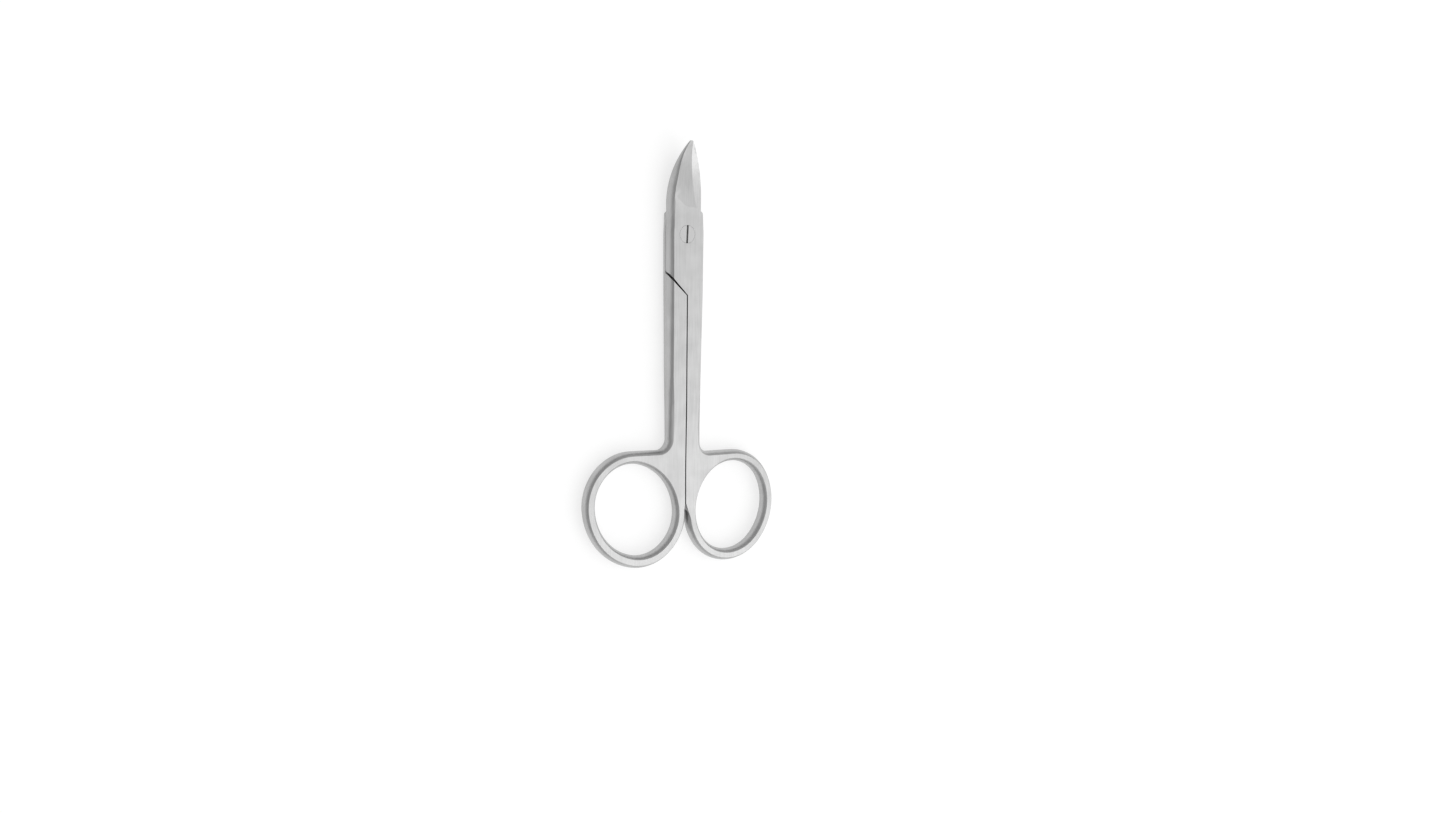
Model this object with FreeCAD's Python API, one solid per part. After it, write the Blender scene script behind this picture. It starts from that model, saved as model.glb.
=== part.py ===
"""Crown scissors with curved blades: two forged halves that cross in a half-lap joint, and a slotted screw.

Millimetres. X runs across the scissors, +Y along them to the tips, +Z is the screw's axis. The origin is on
that axis, in the plane of the joint's underside. The shape is worked out about the middle plane, where the
two halves meet, and each finished piece is then lifted by half the joint's thickness.
"""
import FreeCAD, Part
import math
import os

V = FreeCAD.Vector

# Joint and shanks: thickness, outline and rounding of the sides
joint_thickness = 4.86
ring_thickness = 3.30
joint_rear_end = -14.0
left_joint_width = 4.62
right_joint_width = 5.45
shank_width = 4.62
shank_end = -47.0
joint_side_radius = 3.60
right_joint_taper = 0.22
shank_middle = -34.0
shank_side_radius = 3.00
right_shank_extra = 0.14
bar_front = 9.5
bar_tuck = 0.25

# Front and back faces: where the shank starts to thin more, and where the rings' thickness is reached
taper_change = -40.0
taper_change_half = 2.10
ring_level = -57.0

# Extra height of what the front and back faces trim level
joint_trim = 0.10
shank_trim = -0.05
bar_end_trim = 0.38
web_trim = 0.42
ring_trim = 0.20

# Gaps between the two halves
lap_gap = 0.10
seam_gap = 0.30
shoulder_gap = 0.26

# Lap shoulder, where a half grows from its lap to its full thickness
shoulder_inner = -14.70
shoulder_slant = 43.5
shoulder_bend = 3.30
shoulder_bend_radius = 4.70
lap_overrun = 4.0

# Blades
blade_length = 22.05
blade_axis = 0.45
heel_half_width = 4.95
spine_start = 7.5
spine_radius = 26.0
spine_lean = 0.39
lift_start = 7.5
lift_radius = 31.0
thin_start = 13.6
thin_slope = 0.260
thin_blend = 1.2
edge_start = 8.0
edge_at_heel = 3.14
edge_taper = 0.205
edge_land = 0.10
tip_radius = 0.55
tip_inset = 0.10
tip_margin = 0.50
spine_crown = 0.27
inner_depth = 2.0
blade_root = 2.0
blade_stations = 9
blade_overrun = 0.2

# Heel shoulder of the upper blade's ground face, from the cutting edge round to the spine
heel_curve = [(6.6, 2.6), (4.4, 4.95), (3.25, 5.85), (1.8, 6.38), (-0.15, 6.72), (-1.45, 7.5), (-2.75, 8.8),
              (-3.8, 11.0)]

# Pivot screw
head_diameter = 4.20
head_height = 1.05
stem_diameter = 3.00
running_clearance = 0.04
head_seat_clearance = 0.05
slot_width = 0.50
slot_depth = 0.45
slot_turn = -3.0

# Finger rings: centre, half axes of the section's middle line with the longer one first, turn of the longer one,
# half width of the section, fall of the run that leads from the ring's top to the shank
ring_side_radius = 2.10
oval_fullness = 0.45
lower_ring = dict(centre=(-13.40, -65.26), axes=(13.27, 11.52), turn=-50.0, half_width=1.48, run_fall=3.0)
upper_ring = dict(centre=(13.53, -67.10), axes=(12.43, 11.42), turn=84.3, half_width=1.40, run_fall=-2.0)
corner_radius = 2.50
web_start = 1.60
rim_allowance = 1.05
web_flank = 0.35
seam_end = -64.6
flank_turn = 18.0

joint_half = joint_thickness / 2
ring_half = ring_thickness / 2
bar_end_half = ring_half + bar_end_trim
web_half = ring_half + web_trim
reach = 40.0
far = 100.0


def bulge(radius, height):
    """How far a rounded side has drawn in at a height from the middle plane."""
    return radius - math.sqrt(radius * radius - height * height)


def plan_prism(points, low=-far, high=far):
    """Upright prism over a closed outline of straight runs."""
    wire = Part.makePolygon([V(x, y, low) for x, y in points + points[:1]])
    return Part.Face(wire).extrude(V(0, 0, high - low))


def wire_prism(edges, low=-far, high=far):
    """Upright prism over a closed outline of edges drawn in the middle plane."""
    face = Part.Face(Part.Wire(edges))
    face.translate(V(0, 0, low))
    return face.extrude(V(0, 0, high - low))


def bar_section(y, left, right, radius, half_height):
    """Closed section of the bar at a station: flat faces and two rounded sides."""
    inset = bulge(radius, half_height)
    corners = [V(left + inset, y, -half_height), V(left + inset, y, half_height),
               V(right - inset, y, half_height), V(right - inset, y, -half_height)]
    return Part.Wire([
        Part.Arc(corners[0], V(left, y, 0), corners[1]).toShape(),
        Part.makeLine(corners[1], corners[2]),
        Part.Arc(corners[2], V(right, y, 0), corners[3]).toShape(),
        Part.makeLine(corners[3], corners[0]),
    ])


def closed_bar():
    """Joint and both shanks as one bar, before it is shared out between the halves."""
    tall = joint_half + joint_trim
    front_half = spine_half(bar_front) - bar_tuck
    stations = [
        (shank_end, -shank_width, shank_width, ring_side_radius, bar_end_half),
        (shank_middle, -shank_width, shank_width + right_shank_extra, shank_side_radius, joint_half + shank_trim),
        (joint_rear_end, -left_joint_width, right_joint_width - right_joint_taper, joint_side_radius, tall),
        (0.0, -left_joint_width, right_joint_width, joint_side_radius, tall),
        (bar_front, blade_axis - front_half, blade_axis + front_half, joint_side_radius, tall),
    ]
    return Part.makeLoft([bar_section(*station) for station in stations], True, True)


def thickness_slab():
    """Space between the front and back faces: level at the joint, thinner down the shanks to the rings."""
    stations = [(reach, joint_half), (joint_rear_end, joint_half), (taper_change, taper_change_half),
                (ring_level, ring_half), (-far, ring_half)]
    outline = [V(-reach, y, z) for y, z in stations] + [V(-reach, y, -z) for y, z in reversed(stations)]
    return Part.Face(Part.makePolygon(outline + outline[:1])).extrude(V(2 * reach, 0, 0))


def lift(x, y):
    """Height of the meeting surface: level round the screw, then rising with the distance from it."""
    run = math.hypot(x, y) - lift_start
    return bulge(lift_radius, run) if run > 0 and y > 0 else 0.0


def side_of_lap(above, offset):
    """Space on one side of the meeting surface. Towards the tips it is a surface of revolution about the
    screw, so the blades can turn past each other at any angle without meeting."""
    outer = blade_length + lap_overrun
    end = far if above else -far
    start = V(0, 0, offset)
    level = V(lift_start, 0, offset)
    mid_run = (outer - lift_start) / 2
    middle = V(lift_start + mid_run, 0, bulge(lift_radius, mid_run) + offset)
    rim = V(outer, 0, bulge(lift_radius, outer - lift_start) + offset)
    profile = Part.Wire([
        Part.makeLine(start, level),
        Part.Arc(level, middle, rim).toShape(),
        Part.makeLine(rim, V(outer, 0, end)),
        Part.makeLine(V(outer, 0, end), V(0, 0, end)),
        Part.makeLine(V(0, 0, end), start),
    ])
    ahead = Part.Face(profile).revolve(V(0, 0, 0), V(0, 0, 1), 180)
    low = min(offset, end)
    behind = Part.makeBox(2 * reach, far, abs(end - offset), V(-reach, -far, low))
    return ahead.fuse(behind)


def shoulder_region(side, clearance):
    """Plan of the shank of one side, from its lap shoulder down. The side is -1 for the left shank and 1 for
    the right one. The clearance widens it beyond the shoulder and the seam."""
    slant = math.radians(shoulder_slant)
    shift = clearance / math.cos(slant)
    seam_x = seam_gap / 2 if clearance > 0 else -seam_gap / 2
    inner = (seam_x, shoulder_inner + shift - seam_x * math.tan(slant))
    bend = (-shoulder_bend, shoulder_inner + shift + shoulder_bend * math.tan(slant))
    centre = V(bend[0] + shoulder_bend_radius * math.sin(slant),
               bend[1] + shoulder_bend_radius * math.cos(slant), 0)
    top = V(centre.x - shoulder_bend_radius, centre.y, 0)
    sweep = math.radians(180 + (90 - shoulder_slant) / 2)
    middle = V(centre.x + shoulder_bend_radius * math.cos(sweep),
               centre.y + shoulder_bend_radius * math.sin(sweep), 0)
    start = V(inner[0], inner[1], 0)
    knee = V(bend[0], bend[1], 0)
    out_top = V(-reach, top.y, 0)
    out_low = V(-reach, -far, 0)
    seam_low = V(seam_x, -far, 0)
    edges = [
        Part.makeLine(start, knee),
        Part.Arc(knee, middle, top).toShape(),
        Part.makeLine(top, out_top),
        Part.makeLine(out_top, out_low),
        Part.makeLine(out_low, seam_low),
        Part.makeLine(seam_low, start),
    ]
    prism = wire_prism(edges)
    return prism if side < 0 else prism.mirror(V(0, 0, 0), V(1, 0, 0))


def heel_region(side):
    """Plan ahead of the heel shoulder, where the ground face of a blade begins."""
    curve = Part.BSplineCurve()
    curve.interpolate([V(x, y, 0) for x, y in heel_curve])
    first = V(heel_curve[0][0], heel_curve[0][1], 0)
    last = V(heel_curve[-1][0], heel_curve[-1][1], 0)
    corners = [last, V(-reach, last.y, 0), V(-reach, reach, 0), V(reach, reach, 0), V(reach, first.y, 0), first]
    edges = [curve.toShape()] + [Part.makeLine(a, b) for a, b in zip(corners, corners[1:])]
    prism = wire_prism(edges)
    return prism if side > 0 else prism.mirror(V(blade_axis, 0, 0), V(1, 0, 0))


def spine_half(y):
    """Half width of the closed blades, out to a spine."""
    run = max(0.0, y - spine_start)
    return heel_half_width - bulge(spine_radius, run)


def blade_thickness(y):
    """Thickness at the spine: full at the heel, then thinner by an even slope to the tip."""
    run = y - thin_start
    return joint_half - thin_slope * (math.sqrt(run * run + thin_blend * thin_blend) + run) / 2


def blade_section(y, side):
    """Section of a blade: rounded spine wall, ground face down to the cutting edge, and a deep inner side that
    is cut away later. The side is 1 for the upper blade, whose spine is on the left."""
    spine = -spine_half(y)
    edge = edge_at_heel - edge_taper * (y - edge_start)
    thick = blade_thickness(y)
    ridge = spine + spine_lean * thick
    middle = spine + spine_lean * thick * spine_crown
    base = lift(blade_axis + side * spine, y)
    edge_base = lift(blade_axis + side * edge, y)
    deep = base - side * inner_depth

    def place(x, z):
        return V(blade_axis + side * x, y, z)

    corners = [place(spine, base), place(ridge, base + side * thick), place(edge, edge_base + side * edge_land),
               place(edge, deep), place(spine, deep)]
    return Part.Wire([
        Part.Arc(corners[0], place(middle, base + side * thick / 2), corners[1]).toShape(),
        Part.makeLine(corners[1], corners[2]),
        Part.makeLine(corners[2], corners[3]),
        Part.makeLine(corners[3], corners[4]),
        Part.makeLine(corners[4], corners[0]),
    ])


def tip_cutter(side):
    """Rounds the point of a blade in plan."""
    y = blade_length - tip_radius
    left = blade_axis - side * (spine_half(y) - tip_inset)
    right = blade_axis + side * (edge_at_heel - edge_taper * (y - edge_start))
    centre = V((left + right) / 2, y, 0)
    width = abs(right - left) / 2 + tip_margin
    rounding = Part.Circle(centre, V(0, 0, 1), width)
    if width > tip_radius:
        rounding = Part.Ellipse(centre, width, tip_radius)
    keep = Part.Face(Part.Wire(rounding.toShape()))
    keep.translate(V(0, 0, -far))
    return Part.makeBox(2 * reach, reach, 2 * far, V(-reach, y, -far)).cut(keep.extrude(V(0, 0, 2 * far)))


def blade(side):
    """One blade, from inside the joint to its point."""
    step = (blade_length + blade_overrun - blade_root) / (blade_stations - 1)
    stations = [blade_root + step * k for k in range(blade_stations)]
    body = Part.makeLoft([blade_section(y, side) for y in stations], True, False)
    return body.cut(tip_cutter(side))


def oval(ring):
    """Middle line of a ring as four tangent arcs: centre, radius, and the directions where each begins and ends."""
    a, b = ring["axes"]
    end_radius = b * b / a + oval_fullness * (b - b * b / a)
    side_radius = ((a - end_radius) ** 2 + b * b - end_radius ** 2) / (2 * (b - end_radius))
    out = a - end_radius
    back = side_radius - b
    split = math.degrees(math.atan2(back, out))
    turn = ring["turn"]
    place = FreeCAD.Placement(V(ring["centre"][0], ring["centre"][1], 0), FreeCAD.Rotation(V(0, 0, 1), turn))
    return [
        (place.multVec(V(out, 0, 0)), end_radius, turn - split, turn + split),
        (place.multVec(V(0, -back, 0)), side_radius, turn + split, turn + 180 - split),
        (place.multVec(V(-out, 0, 0)), end_radius, turn + 180 - split, turn + 180 + split),
        (place.multVec(V(0, back, 0)), side_radius, turn + 180 + split, turn + 360 - split),
    ]


def polar(centre, radius, direction):
    angle = math.radians(direction)
    return V(centre.x + radius * math.cos(angle), centre.y + radius * math.sin(angle), 0)


def extreme(ring, direction):
    """Point of the middle line that lies furthest in a direction."""
    for centre, radius, first, last in oval(ring):
        if (direction - first) % 360 <= last - first:
            return polar(centre, radius, direction)


def rounded_section(origin, inward, outward, up_to, open_inside=False):
    """Upright section with flat ends and rounded sides, between two offsets from a point of the outline.
    The direction of the offsets is the unit vector inward to outward."""
    along = outward - inward
    along.normalize()
    inset = bulge(ring_side_radius, up_to)
    rise = V(0, 0, up_to)
    near = inward if open_inside else inward + along * inset
    far_side = outward - along * inset
    near_edge = Part.makeLine(origin + near + rise, origin + near - rise) if open_inside else \
        Part.Arc(origin + near + rise, origin + inward, origin + near - rise).toShape()
    return Part.Face(Part.Wire([
        near_edge,
        Part.makeLine(origin + near - rise, origin + far_side - rise),
        Part.Arc(origin + far_side - rise, origin + outward, origin + far_side + rise).toShape(),
        Part.makeLine(origin + far_side + rise, origin + near + rise),
    ]))


def ring_body(ring):
    """A finger ring: its section turned about the centre of each arc of the oval."""
    pieces = []
    for centre, radius, first, last in oval(ring):
        along = polar(V(0, 0, 0), 1.0, first)
        section = rounded_section(polar(centre, radius, first), along * -ring["half_width"],
                                  along * ring["half_width"], ring_half + ring_trim)
        pieces.append(section.revolve(centre, V(0, 0, 1), last - first))
    return pieces[0].fuse(pieces[1:]).removeSplitter()


def crotch(ring, side):
    """The web between a shank and its ring, with the rounded wall that runs from the shank's side round a
    small corner into the top of the ring."""
    facing = 90 + side * ring["run_fall"]
    normal = polar(V(0, 0, 0), 1.0, facing)
    top = extreme(ring, facing) + normal * ring["half_width"]
    outer = side * shank_width
    depth = 2 * ring["half_width"] - rim_allowance
    centre_x = outer + side * corner_radius
    bend_centre = V(centre_x, top.y + (corner_radius - (centre_x - top.x) * normal.x) / normal.y, 0)
    bend_sweep = 90 + ring["run_fall"]
    section = rounded_section(V(outer, shank_end, 0), V(-side * depth, 0, 0), V(0, 0, 0), bar_end_half, True)
    drop = V(0, bend_centre.y - shank_end, 0)
    bend_section = section.translated(drop)
    run_section = bend_section.copy()
    run_section.rotate(bend_centre, V(0, 0, 1), bend_sweep * side)
    rim = [
        section.extrude(drop),
        bend_section.revolve(bend_centre, V(0, 0, side), bend_sweep),
        run_section.extrude(top - (bend_centre - normal * corner_radius)),
    ]
    beside = extreme(ring, 180 + flank_turn if side > 0 else -flank_turn)
    start = top - normal * web_start
    bend = [polar(bend_centre, corner_radius + web_start, facing + 180 - side * turn) for turn in (0, 45, bend_sweep)]
    web = plan_prism([
        (0.0, shank_end), (0.0, seam_end), (beside.x - side * web_flank, beside.y), ring["centre"],
        (start.x, start.y)] + [(point.x, point.y) for point in bend] + [(bend[-1].x, shank_end)],
        -web_half, web_half)
    arcs = []
    for centre, radius, first, last in oval(ring):
        ends = [polar(centre, radius, direction) for direction in (first, (first + last) / 2, last)]
        arcs.append(Part.Arc(*ends).toShape())
    return rim, web.cut(wire_prism(arcs))


def half(side):
    """One forged half. The side is 1 for the upper half, with its ring on the right, and -1 for the lower."""
    ring = upper_ring if side > 0 else lower_ring
    own_shank = shoulder_region(side, 0.0)
    other_shank = shoulder_region(-side, shoulder_gap)
    own_lap = side_of_lap(side > 0, side * lap_gap / 2)
    bar = closed_bar().cut(heel_region(side))
    rim, web = crotch(ring, side)
    grip = ring_body(ring).fuse(rim + [web]).common(own_shank)
    body = bar.common(own_lap.fuse(own_shank)).cut(other_shank)
    body = body.fuse(grip).common(thickness_slab())
    point = blade(side).common(own_lap)
    return body.fuse(point).removeSplitter()


def screw_bore(diameter, low, high):
    return Part.makeCylinder(diameter / 2, high - low, V(0, 0, low))


def pivot_screw():
    """Slotted screw: flush head in the upper half, stem turned into the lower half."""
    head = Part.makeCylinder(head_diameter / 2, head_height, V(0, 0, joint_half - head_height))
    stem = Part.makeCylinder(stem_diameter / 2, joint_thickness - head_height / 2, V(0, 0, -joint_half))
    slot = Part.makeBox(slot_width, 2 * head_diameter, slot_depth,
                        V(-slot_width / 2, -head_diameter, joint_half - slot_depth))
    slot.rotate(V(0, 0, 0), V(0, 0, 1), slot_turn)
    return head.fuse(stem).cut(slot).removeSplitter()


def upper_half():
    body = half(1)
    seat = joint_half - head_height - head_seat_clearance
    body = body.cut(screw_bore(head_diameter + 2 * running_clearance, seat, far))
    return body.cut(screw_bore(stem_diameter + 2 * running_clearance, -far, far))


def lower_half():
    return half(-1).cut(screw_bore(stem_diameter, -far, far))


def main():
    os.makedirs("parts", exist_ok=True)
    pieces = {"upper_half": upper_half(), "lower_half": lower_half(), "pivot_screw": pivot_screw()}
    for name, shape in pieces.items():
        shape.translate(V(0, 0, joint_half))
        shape.exportStep("parts/" + name + ".step")
        box = shape.BoundBox
        print(name, "solids", len(shape.Solids), "valid", shape.isValid(), "volume %.1f" % shape.Volume,
              "x %.2f %.2f y %.2f %.2f z %.2f %.2f" % (box.XMin, box.XMax, box.YMin, box.YMax, box.ZMin, box.ZMax))


main()
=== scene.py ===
# %% [markdown]
# # Crown scissors with short curved blades
#
# The object is a small pair of stainless steel scissors for trimming dental crowns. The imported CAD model
# already holds its real shape: two forged halves and a slotted pivot screw. This script gives those three
# pieces the finish of ground steel and photographs them on white paper. Everything is in metres, in the
# CAD model's own frame: +Y runs to the blade tips and +Z is the axis of the screw.

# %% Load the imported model
import math
import bmesh
import bpy
from mathutils import Matrix, Vector


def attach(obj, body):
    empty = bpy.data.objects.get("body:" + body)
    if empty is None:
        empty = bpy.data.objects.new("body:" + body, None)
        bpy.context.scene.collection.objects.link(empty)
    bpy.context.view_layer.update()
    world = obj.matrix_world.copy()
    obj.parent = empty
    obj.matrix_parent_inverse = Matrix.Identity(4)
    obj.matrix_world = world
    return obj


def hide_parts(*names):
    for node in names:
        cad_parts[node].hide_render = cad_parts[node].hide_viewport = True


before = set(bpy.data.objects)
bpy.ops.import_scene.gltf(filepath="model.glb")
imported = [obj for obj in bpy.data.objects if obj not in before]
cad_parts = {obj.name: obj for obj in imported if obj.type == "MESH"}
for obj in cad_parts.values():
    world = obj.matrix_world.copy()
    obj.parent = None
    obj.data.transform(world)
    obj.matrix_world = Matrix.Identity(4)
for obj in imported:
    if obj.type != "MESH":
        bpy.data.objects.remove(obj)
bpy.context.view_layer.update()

MM = 0.001

# %% [markdown]
# ## The ground pieces
#
# Each piece was forged, ground to its outline and then dressed with an abrasive belt, which leaves flat
# faces, softly crowned walls and edges that are broken by a tenth or two of a millimetre. A razor-sharp edge
# never catches the light, so the CAD mesh looks like paper beside the real thing. Its mesh is therefore
# copied, its loose triangles are merged into clean faces, and a narrow bevel breaks every sharp edge. The
# bevel could be cut in the mesh itself, but a modifier keeps the merged mesh readable.
#
# One form is finer than the CAD model's. Where the sloping shoulder of the lap runs out through the left
# wall, the photograph shows the seam opening to a dark wedge. The shoulder's points are therefore moved a
# little towards the tips, by more the nearer they are to that wall.

# %% A helper that dresses one CAD piece
MERGE_DISTANCE = 0.0005 * MM
FLATNESS = math.radians(0.4)
SHARP_ANGLE = math.radians(24)
BEVEL_SEGMENTS = 2
LEFT_WALL = 4.62 * MM
SHOULDER_START = -15 * MM  # the shoulder lies between here and the screw
SHOULDER_RELIEF = 0.45 * MM
FACES_BACK = -0.25  # Y part of a normal that points towards the rings
UPRIGHT = 0.1  # largest Z part of an upright face's normal


def open_shoulder(skin):
    """Relieves the shoulder of the lap towards the left wall, so the seam widens there."""
    relieved = set()
    for face in skin.faces:
        spot = face.calc_center_median()
        on_shoulder = spot.x < 0 and SHOULDER_START < spot.y < 0
        if on_shoulder and face.normal.y < FACES_BACK and abs(face.normal.z) < UPRIGHT:
            relieved.update(face.verts)
    for vert in relieved:
        vert.co.y += SHOULDER_RELIEF * max(0.0, -vert.co.x / LEFT_WALL)
    print("  shoulder points relieved:", len(relieved))


def dressed_piece(node, body, broken_edge, forms=()):
    """Copies a CAD node, merges its triangles, shapes fine forms and breaks its sharp edges."""
    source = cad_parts[node]
    skin = bmesh.new()
    skin.from_mesh(source.data)
    bmesh.ops.remove_doubles(skin, verts=skin.verts, dist=MERGE_DISTANCE)
    bmesh.ops.dissolve_limit(skin, angle_limit=FLATNESS, verts=skin.verts, edges=skin.edges,
                             use_dissolve_boundaries=False)
    skin.normal_update()
    for form in forms:
        form(skin)
    for face in skin.faces:
        face.smooth = True
    for edge in skin.edges:
        edge.smooth = edge.calc_face_angle(0.0) < SHARP_ANGLE
    mesh = bpy.data.meshes.new(node + "_dressed")
    skin.to_mesh(mesh)
    skin.free()
    piece = bpy.data.objects.new(node + "_dressed", mesh)
    bpy.context.scene.collection.objects.link(piece)
    bevel = piece.modifiers.new("broken edges", "BEVEL")
    bevel.width = broken_edge
    bevel.segments = BEVEL_SEGMENTS
    bevel.limit_method = "ANGLE"
    bevel.angle_limit = SHARP_ANGLE
    bevel.use_clamp_overlap = True
    bevel.miter_outer = "MITER_ARC"
    bevel.harden_normals = False
    level = piece.modifiers.new("face normals", "WEIGHTED_NORMAL")
    level.mode = "FACE_AREA_WITH_ANGLE"
    level.keep_sharp = False
    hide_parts(node)
    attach(piece, body)
    sharp = sum(1 for edge in mesh.edges if edge.use_edge_sharp)
    print(node, "faces:", len(mesh.polygons), "sharp edges:", sharp)
    return piece


# %% [markdown]
# The halves are ground by hand, so their edges are broken wider than those of the turned screw.

# %% The three pieces
HALF_EDGE = 0.16 * MM
SCREW_EDGE = 0.06 * MM

upper_half = dressed_piece("upper_half", "upper", HALF_EDGE, [open_shoulder])
lower_half = dressed_piece("lower_half", "lower", HALF_EDGE)
pivot_screw = dressed_piece("pivot_screw", "lower", SCREW_EDGE)

# %% [markdown]
# ## The steel
#
# Instrument steel is a martensitic stainless steel. It is dressed to a satin: a fine abrasive leaves a dense
# field of tiny scratches, so the surface returns light in a broad soft glow instead of a mirror image. To the
# eye that gives pale neutral grey faces, quiet bands along the rounded walls and no hard reflections. One
# metal shader does this, with three patterns in it: cloudiness a few millimetres wide where the belt pressed
# harder or softer, the grain of the abrasive, and faint drawn lines along the shanks. Shade is also painted
# into its colour: a shade that asks how much open sky a spot sees turns the seams and the screw's slot dark,
# standing in for the shade that falls there.

# %% Helpers for colour and nodes
# Painted shade: a metal's colour is darkened where a spot sees little open sky, in seams, slots and creases.
SEAM_REACH = 0.5 * MM  # how far a spot looks for metal that shuts it in
SHUT_IN = 0.22  # share of open sky where the metal is darkest
OPEN = 0.80  # share from which the colour is not darkened
PAINTED_SHADE_COLOUR = "#242424"


def linear(hex_colour):
    """The linear colour of an sRGB hex value."""
    channels = [int(hex_colour[i:i + 2], 16) / 255 for i in (1, 3, 5)]
    return tuple(c / 12.92 if c <= 0.04045 else ((c + 0.055) / 1.055) ** 2.4 for c in channels) + (1.0,)


def add_node(tree, kind, links=None, **settings):
    """Adds a node, sets its properties and its sockets, and links sockets from other nodes."""
    node = tree.nodes.new(kind)
    for name, value in settings.items():
        setattr(node, name, value)
    for socket, value in (links or {}).items():
        if isinstance(value, bpy.types.NodeSocket):
            tree.links.new(value, node.inputs[socket])
        else:
            node.inputs[socket].default_value = value
    return node


def new_material(name):
    """An empty node material and its tree."""
    material = bpy.data.materials.new(name)
    material.use_nodes = True
    material.node_tree.nodes.clear()
    return material, material.node_tree


def dress(piece, material):
    """Gives a piece this material and no other."""
    piece.data.materials.clear()
    piece.data.materials.append(material)


def paint_seam_shade(tree, unshaded_colour):
    """Paints shade into a metal's colour where a narrow seam or slot leaves little open sky."""
    sky = add_node(tree, "ShaderNodeAmbientOcclusion", {"Distance": SEAM_REACH}, samples=8)
    openness = add_node(tree, "ShaderNodeMapRange",
                        {"Value": sky.outputs["AO"], "From Min": SHUT_IN, "From Max": OPEN})
    return add_node(tree, "ShaderNodeMix",
                    {"Factor": openness.outputs[0], "A": linear(PAINTED_SHADE_COLOUR), "B": unshaded_colour},
                    data_type="RGBA")


print("helpers: linear, add_node, new_material, dress, paint_seam_shade")

# %% Satin ground stainless steel
# A pattern's scale counts its repeats in a metre, so a feature of so many millimetres is 1 / (size * MM).
CLOUD_SIZE = 5.0
GRAIN_SIZE = 0.35  # real abrasive marks are about 0.05 mm, which the render can't show
LINE_SPACING = 0.30  # as coarse as the grain, for the same reason
LINE_LENGTH = 9.0
GROUND_SHADES = ("#B4B4B4", "#C1C1C1")
GROUND_ROUGHNESS = (0.31, 0.39)
SCRATCH_DEPTH = 0.02 * MM

satin_steel, tree = new_material("satin_ground_stainless_steel")
place = add_node(tree, "ShaderNodeTexCoord").outputs["Object"]
clouds = add_node(tree, "ShaderNodeTexNoise",
                  {"Vector": place, "Scale": 1 / (CLOUD_SIZE * MM), "Detail": 3.0})
grain = add_node(tree, "ShaderNodeTexNoise",
                 {"Vector": place, "Scale": 1 / (GRAIN_SIZE * MM), "Detail": 2.0})
along = add_node(tree, "ShaderNodeMapping",
                 {"Vector": place, "Scale": (1.0, LINE_SPACING / LINE_LENGTH, 1.0)})
lines = add_node(tree, "ShaderNodeTexNoise",
                 {"Vector": along.outputs[0], "Scale": 1 / (LINE_SPACING * MM), "Detail": 2.0})
uneven = add_node(tree, "ShaderNodeMath",
                  {0: clouds.outputs["Fac"], 1: lines.outputs["Fac"]}, operation="ADD")
tint = add_node(tree, "ShaderNodeMapRange",
                {"Value": uneven.outputs[0], "From Min": 0.75, "From Max": 1.25,
                 "To Min": 0.0, "To Max": 1.0})
colour = add_node(tree, "ShaderNodeMix",
                  {"Factor": tint.outputs[0], "A": linear(GROUND_SHADES[0]), "B": linear(GROUND_SHADES[1])},
                  data_type="RGBA")
marks = add_node(tree, "ShaderNodeMath",
                 {0: grain.outputs["Fac"], 1: lines.outputs["Fac"]}, operation="ADD")
gloss = add_node(tree, "ShaderNodeMapRange",
                 {"Value": marks.outputs[0], "From Min": 0.7, "From Max": 1.3,
                  "To Min": GROUND_ROUGHNESS[0], "To Max": GROUND_ROUGHNESS[1]})
relief = add_node(tree, "ShaderNodeBump",
                  {"Height": marks.outputs[0], "Strength": 0.10, "Distance": SCRATCH_DEPTH})
# painted shade: the colour darkens in the seams, where shade falls
shade_painted_colour = paint_seam_shade(tree, colour.outputs["Result"])
shader = add_node(tree, "ShaderNodeBsdfPrincipled",
                  {"Base Color": shade_painted_colour.outputs["Result"], "Metallic": 1.0, "Roughness": gloss.outputs[0],
                   "Normal": relief.outputs[0]})
add_node(tree, "ShaderNodeOutputMaterial", {"Surface": shader.outputs[0]})
dress(upper_half, satin_steel)
dress(lower_half, satin_steel)
print("satin steel:", len(tree.nodes), "nodes")

# %% [markdown]
# ## The screw
#
# The pivot screw is turned on a lathe and dressed flush with the joint, so its head keeps very fine rings
# round its axis. The screw stands on the frame's Z axis, so a ring pattern on Object coordinates needs no
# placing. It has the grey of the halves, and to the eye the rings only soften what it mirrors. What sets it
# off from the joint is the thin dark circle of its seat and its slot, which painted shade darkens further.

# %% Turned stainless steel
TOOL_RING = 0.22  # a real tool leaves about 0.05 mm, too fine to show
WAVES_PER_UNIT = 20 / (2 * math.pi)  # rings that a wave texture draws in one unit of length at scale 1
TURNED_SHADE = "#BCBCBC"
TURNED_ROUGHNESS = (0.30, 0.38)
RING_DEPTH = 0.01 * MM

turned_steel, tree = new_material("turned_stainless_steel")
place = add_node(tree, "ShaderNodeTexCoord").outputs["Object"]
rings = add_node(tree, "ShaderNodeTexWave",
                 {"Vector": place, "Scale": 1 / (TOOL_RING * MM * WAVES_PER_UNIT), "Distortion": 0.6,
                  "Detail": 1.0},
                 wave_type="RINGS", rings_direction="Z")
speckle = add_node(tree, "ShaderNodeTexNoise",
                   {"Vector": place, "Scale": 1 / (GRAIN_SIZE * MM), "Detail": 2.0})
gloss = add_node(tree, "ShaderNodeMapRange",
                 {"Value": speckle.outputs["Fac"], "From Min": 0.3, "From Max": 0.7,
                  "To Min": TURNED_ROUGHNESS[0], "To Max": TURNED_ROUGHNESS[1]})
relief = add_node(tree, "ShaderNodeBump",
                  {"Height": rings.outputs["Fac"], "Strength": 0.08, "Distance": RING_DEPTH})
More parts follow.
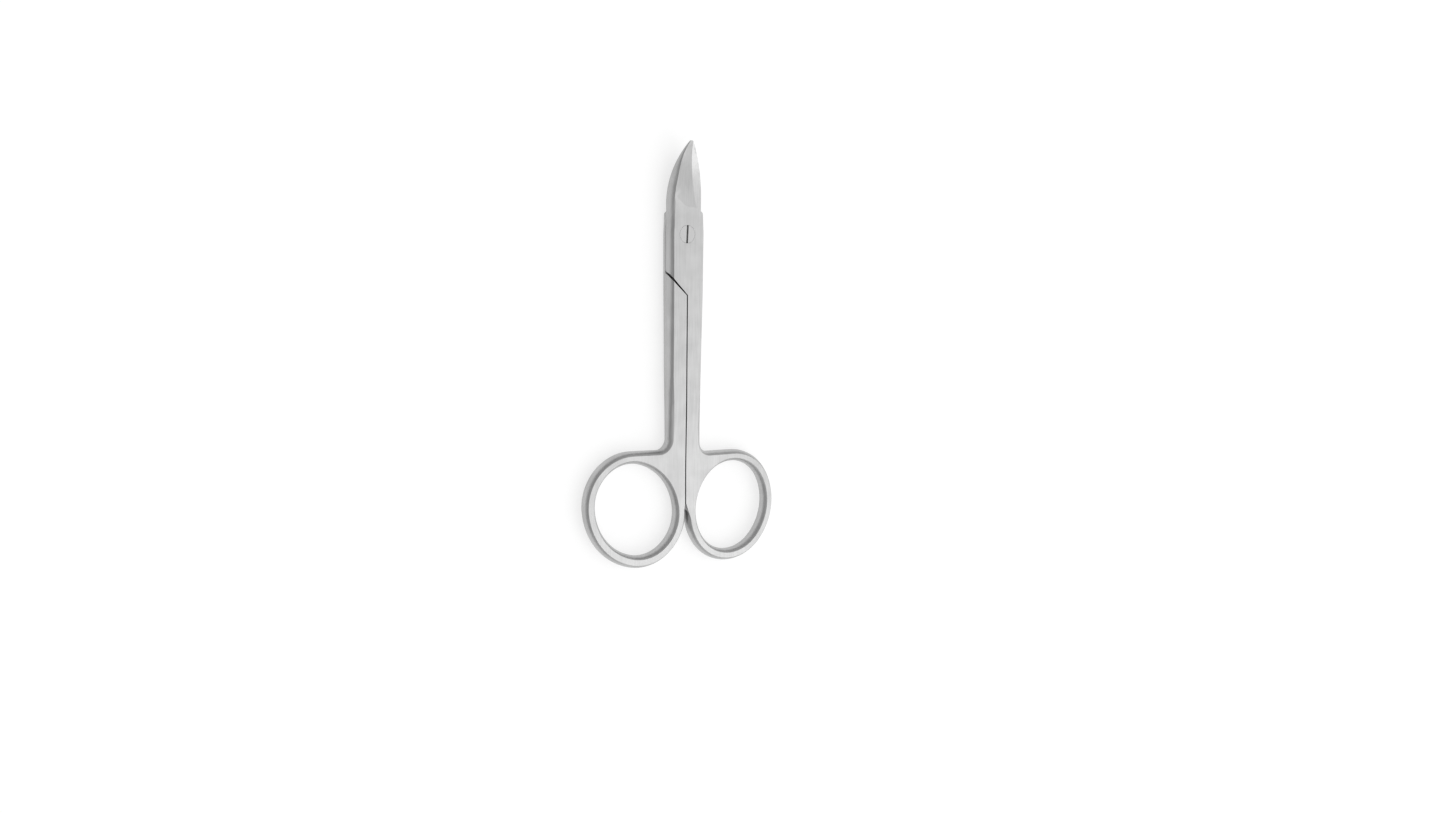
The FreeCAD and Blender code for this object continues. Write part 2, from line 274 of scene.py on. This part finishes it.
# painted shade: the colour darkens in the screw's seat and slot
shade_painted_colour = paint_seam_shade(tree, linear(TURNED_SHADE))
shader = add_node(tree, "ShaderNodeBsdfPrincipled",
                  {"Base Color": shade_painted_colour.outputs["Result"], "Metallic": 1.0, "Roughness": gloss.outputs[0],
                   "Normal": relief.outputs[0]})
add_node(tree, "ShaderNodeOutputMaterial", {"Surface": shader.outputs[0]})
dress(pivot_screw, turned_steel)
print("turned steel:", len(tree.nodes), "nodes")

# %% [markdown]
# ## The paper
#
# The scissors lie on a wide sheet of white paper. Metal shows what is round it, so the paper is part of the
# steel's look: its white fills the lower half of every rounded wall. The paper itself is toned down, which
# keeps the shadow under the scissors as faint as in a product photograph, and a light of its own brings it
# back to white for the camera. In reflections that light fades away from the scissors, as it does where a
# photographer's lamps don't reach, and so the walls get a soft dark band above the bright one.

# %% The sheet of paper
PAPER_HALF = 0.9
FIBRE_SIZE = 1.5
PAPER_SHADES = ("#A4A4A4", "#A8A8A8")
PAPER_GLOW = 0.68
BRIGHTEST_SPOT = (0.0, -0.06, 0.0)
NEAR_PAPER = 0.04  # metres from the brightest spot, where the mirrored light starts to fade
FAR_PAPER = 0.20  # and where it has faded
FAR_GLOW_SHARE = 0.15

sheet_mesh = bpy.data.meshes.new("paper_sheet")
sheet_shape = bmesh.new()
bmesh.ops.create_grid(sheet_shape, x_segments=1, y_segments=1, size=PAPER_HALF)
sheet_shape.to_mesh(sheet_mesh)
sheet_shape.free()
sheet = bpy.data.objects.new("paper_sheet", sheet_mesh)
bpy.context.scene.collection.objects.link(sheet)

paper, tree = new_material("white_paper")
place = add_node(tree, "ShaderNodeTexCoord").outputs["Object"]
fibre = add_node(tree, "ShaderNodeTexNoise",
                 {"Vector": place, "Scale": 1 / (FIBRE_SIZE * MM), "Detail": 2.0})
tone = add_node(tree, "ShaderNodeMix",
                {"Factor": fibre.outputs["Fac"], "A": linear(PAPER_SHADES[0]), "B": linear(PAPER_SHADES[1])},
                data_type="RGBA")
matt = add_node(tree, "ShaderNodeBsdfDiffuse", {"Color": tone.outputs["Result"]})
rays = add_node(tree, "ShaderNodeLightPath")
direct = add_node(tree, "ShaderNodeMath",
                  {0: rays.outputs["Is Camera Ray"], 1: rays.outputs["Is Transmission Ray"]},
                  operation="MAXIMUM")
distance = add_node(tree, "ShaderNodeVectorMath", {0: place, 1: BRIGHTEST_SPOT}, operation="DISTANCE")
nearness = add_node(tree, "ShaderNodeMapRange",
                    {"Value": distance.outputs["Value"], "From Min": NEAR_PAPER, "From Max": FAR_PAPER,
                     "To Min": 1.0, "To Max": FAR_GLOW_SHARE}, interpolation_type="SMOOTHSTEP")
mirrored = add_node(tree, "ShaderNodeMath", {0: rays.outputs["Is Glossy Ray"], 1: nearness.outputs[0]},
                    operation="MULTIPLY")
seen = add_node(tree, "ShaderNodeMath", {0: direct.outputs[0], 1: mirrored.outputs[0]}, operation="MAXIMUM")
glow_strength = add_node(tree, "ShaderNodeMath", {0: seen.outputs[0], 1: PAPER_GLOW}, operation="MULTIPLY")
glow = add_node(tree, "ShaderNodeEmission",
                {"Color": linear("#FFFFFF"), "Strength": glow_strength.outputs[0]})
both = add_node(tree, "ShaderNodeAddShader", {0: matt.outputs[0], 1: glow.outputs[0]})
add_node(tree, "ShaderNodeOutputMaterial", {"Surface": both.outputs[0]})
dress(sheet, paper)
print("paper half size:", PAPER_HALF, "m")

# %% [markdown]
# ## Light
#
# Satin steel needs large soft lights. The camera stands to the left of the screw's axis, so the flat faces
# mirror the right side of the room. The room is therefore bright up there and falls off smoothly to the
# other side: its level sets how bright the faces are, and the dim side gives the left walls their shade. To
# the camera itself the room is plain white, like the paper. One softbox near the rings adds the little that
# the ring faces have over the joint.

# %% Room light and lamps
BRIGHT_SIDE = (0.50, -0.30, 0.81)
DIM_LEVEL = 0.44
BRIGHT_LEVEL = 1.18
FULLY_BRIGHT = 0.98  # cosine of the angle within which the room is at its brightest
MIDDLE = (0.0, -0.022, 0.002)
SOFTBOX_PLACE = (0.34, -0.40, 0.48)
SOFTBOX_SIZE = 0.34
SOFTBOX_POWER = 0.38

world = bpy.data.worlds.new("room")
world.use_nodes = True
room = world.node_tree
room.nodes.clear()
heading = add_node(room, "ShaderNodeTexCoord").outputs["Generated"]
facing = add_node(room, "ShaderNodeVectorMath", {0: heading, 1: BRIGHT_SIDE}, operation="DOT_PRODUCT")
level = add_node(room, "ShaderNodeMapRange",
                 {"Value": facing.outputs["Value"], "From Min": 0.0, "From Max": FULLY_BRIGHT,
                  "To Min": DIM_LEVEL, "To Max": BRIGHT_LEVEL}, interpolation_type="SMOOTHSTEP")
rays = add_node(room, "ShaderNodeLightPath")
white = add_node(room, "ShaderNodeMix",
                 {"Factor": rays.outputs["Is Camera Ray"], "A": level.outputs[0], "B": 1.0},
                 data_type="FLOAT")
walls = add_node(room, "ShaderNodeBackground",
                 {"Color": linear("#FFFFFF"), "Strength": white.outputs["Result"]})
add_node(room, "ShaderNodeOutputWorld", {"Surface": walls.outputs[0]})
bpy.context.scene.world = world


def soft_lamp(name, place, aim, size, power):
    """A square lamp at a place, turned to face the aim."""
    light = bpy.data.lights.new(name, "AREA")
    light.shape = "SQUARE"
    light.size = size
    light.energy = power
    lamp = bpy.data.objects.new(name, light)
    lamp.location = place
    lamp.rotation_euler = (Vector(aim) - Vector(place)).to_track_quat("-Z", "Y").to_euler()
    bpy.context.scene.collection.objects.link(lamp)


soft_lamp("right_softbox", SOFTBOX_PLACE, MIDDLE, SOFTBOX_SIZE, SOFTBOX_POWER)

# %% [markdown]
# ## Camera
#
# The photograph was taken from above the scissors, 32 degrees to the left of the screw's axis and a little
# towards the tips. The camera's distance and lens came from fitting the two rings, the seam and the screw
# head to the picture, and a small lens shift puts the scissors where they are in the frame.

# %% The photograph's camera
AIM = Vector((0.0, -22.0, 2.43)) * MM
DISTANCE = 300 * MM
LEFT_ANGLE = math.radians(32)
TIP_ANGLE = math.radians(4.5)
PHOTO_WIDTH = 1445
FOCAL_PIXELS = 1247.4
AIM_OFF_CENTRE = (-40.47, 80.62)

away = Vector((-math.sin(LEFT_ANGLE) * math.cos(TIP_ANGLE), math.sin(TIP_ANGLE),
               math.cos(LEFT_ANGLE) * math.cos(TIP_ANGLE)))
side = Vector((0.0, 1.0, 0.0)).cross(away).normalized()
up = away.cross(side)
lens = bpy.data.cameras.new("camera")
lens.sensor_width = 36.0
lens.lens = FOCAL_PIXELS * lens.sensor_width / PHOTO_WIDTH
lens.shift_x = -AIM_OFF_CENTRE[0] / PHOTO_WIDTH
lens.shift_y = -AIM_OFF_CENTRE[1] / PHOTO_WIDTH
lens.clip_start = 0.01
camera = bpy.data.objects.new("camera", lens)
camera.matrix_world = Matrix((side, up, away)).transposed().to_4x4()
camera.location = AIM + away * DISTANCE
bpy.context.scene.collection.objects.link(camera)
bpy.context.scene.camera = camera
bpy.context.scene.view_settings.view_transform = "Standard"
print("lens %.2f mm, shift %.4f %.4f" % (lens.lens, lens.shift_x, lens.shift_y))
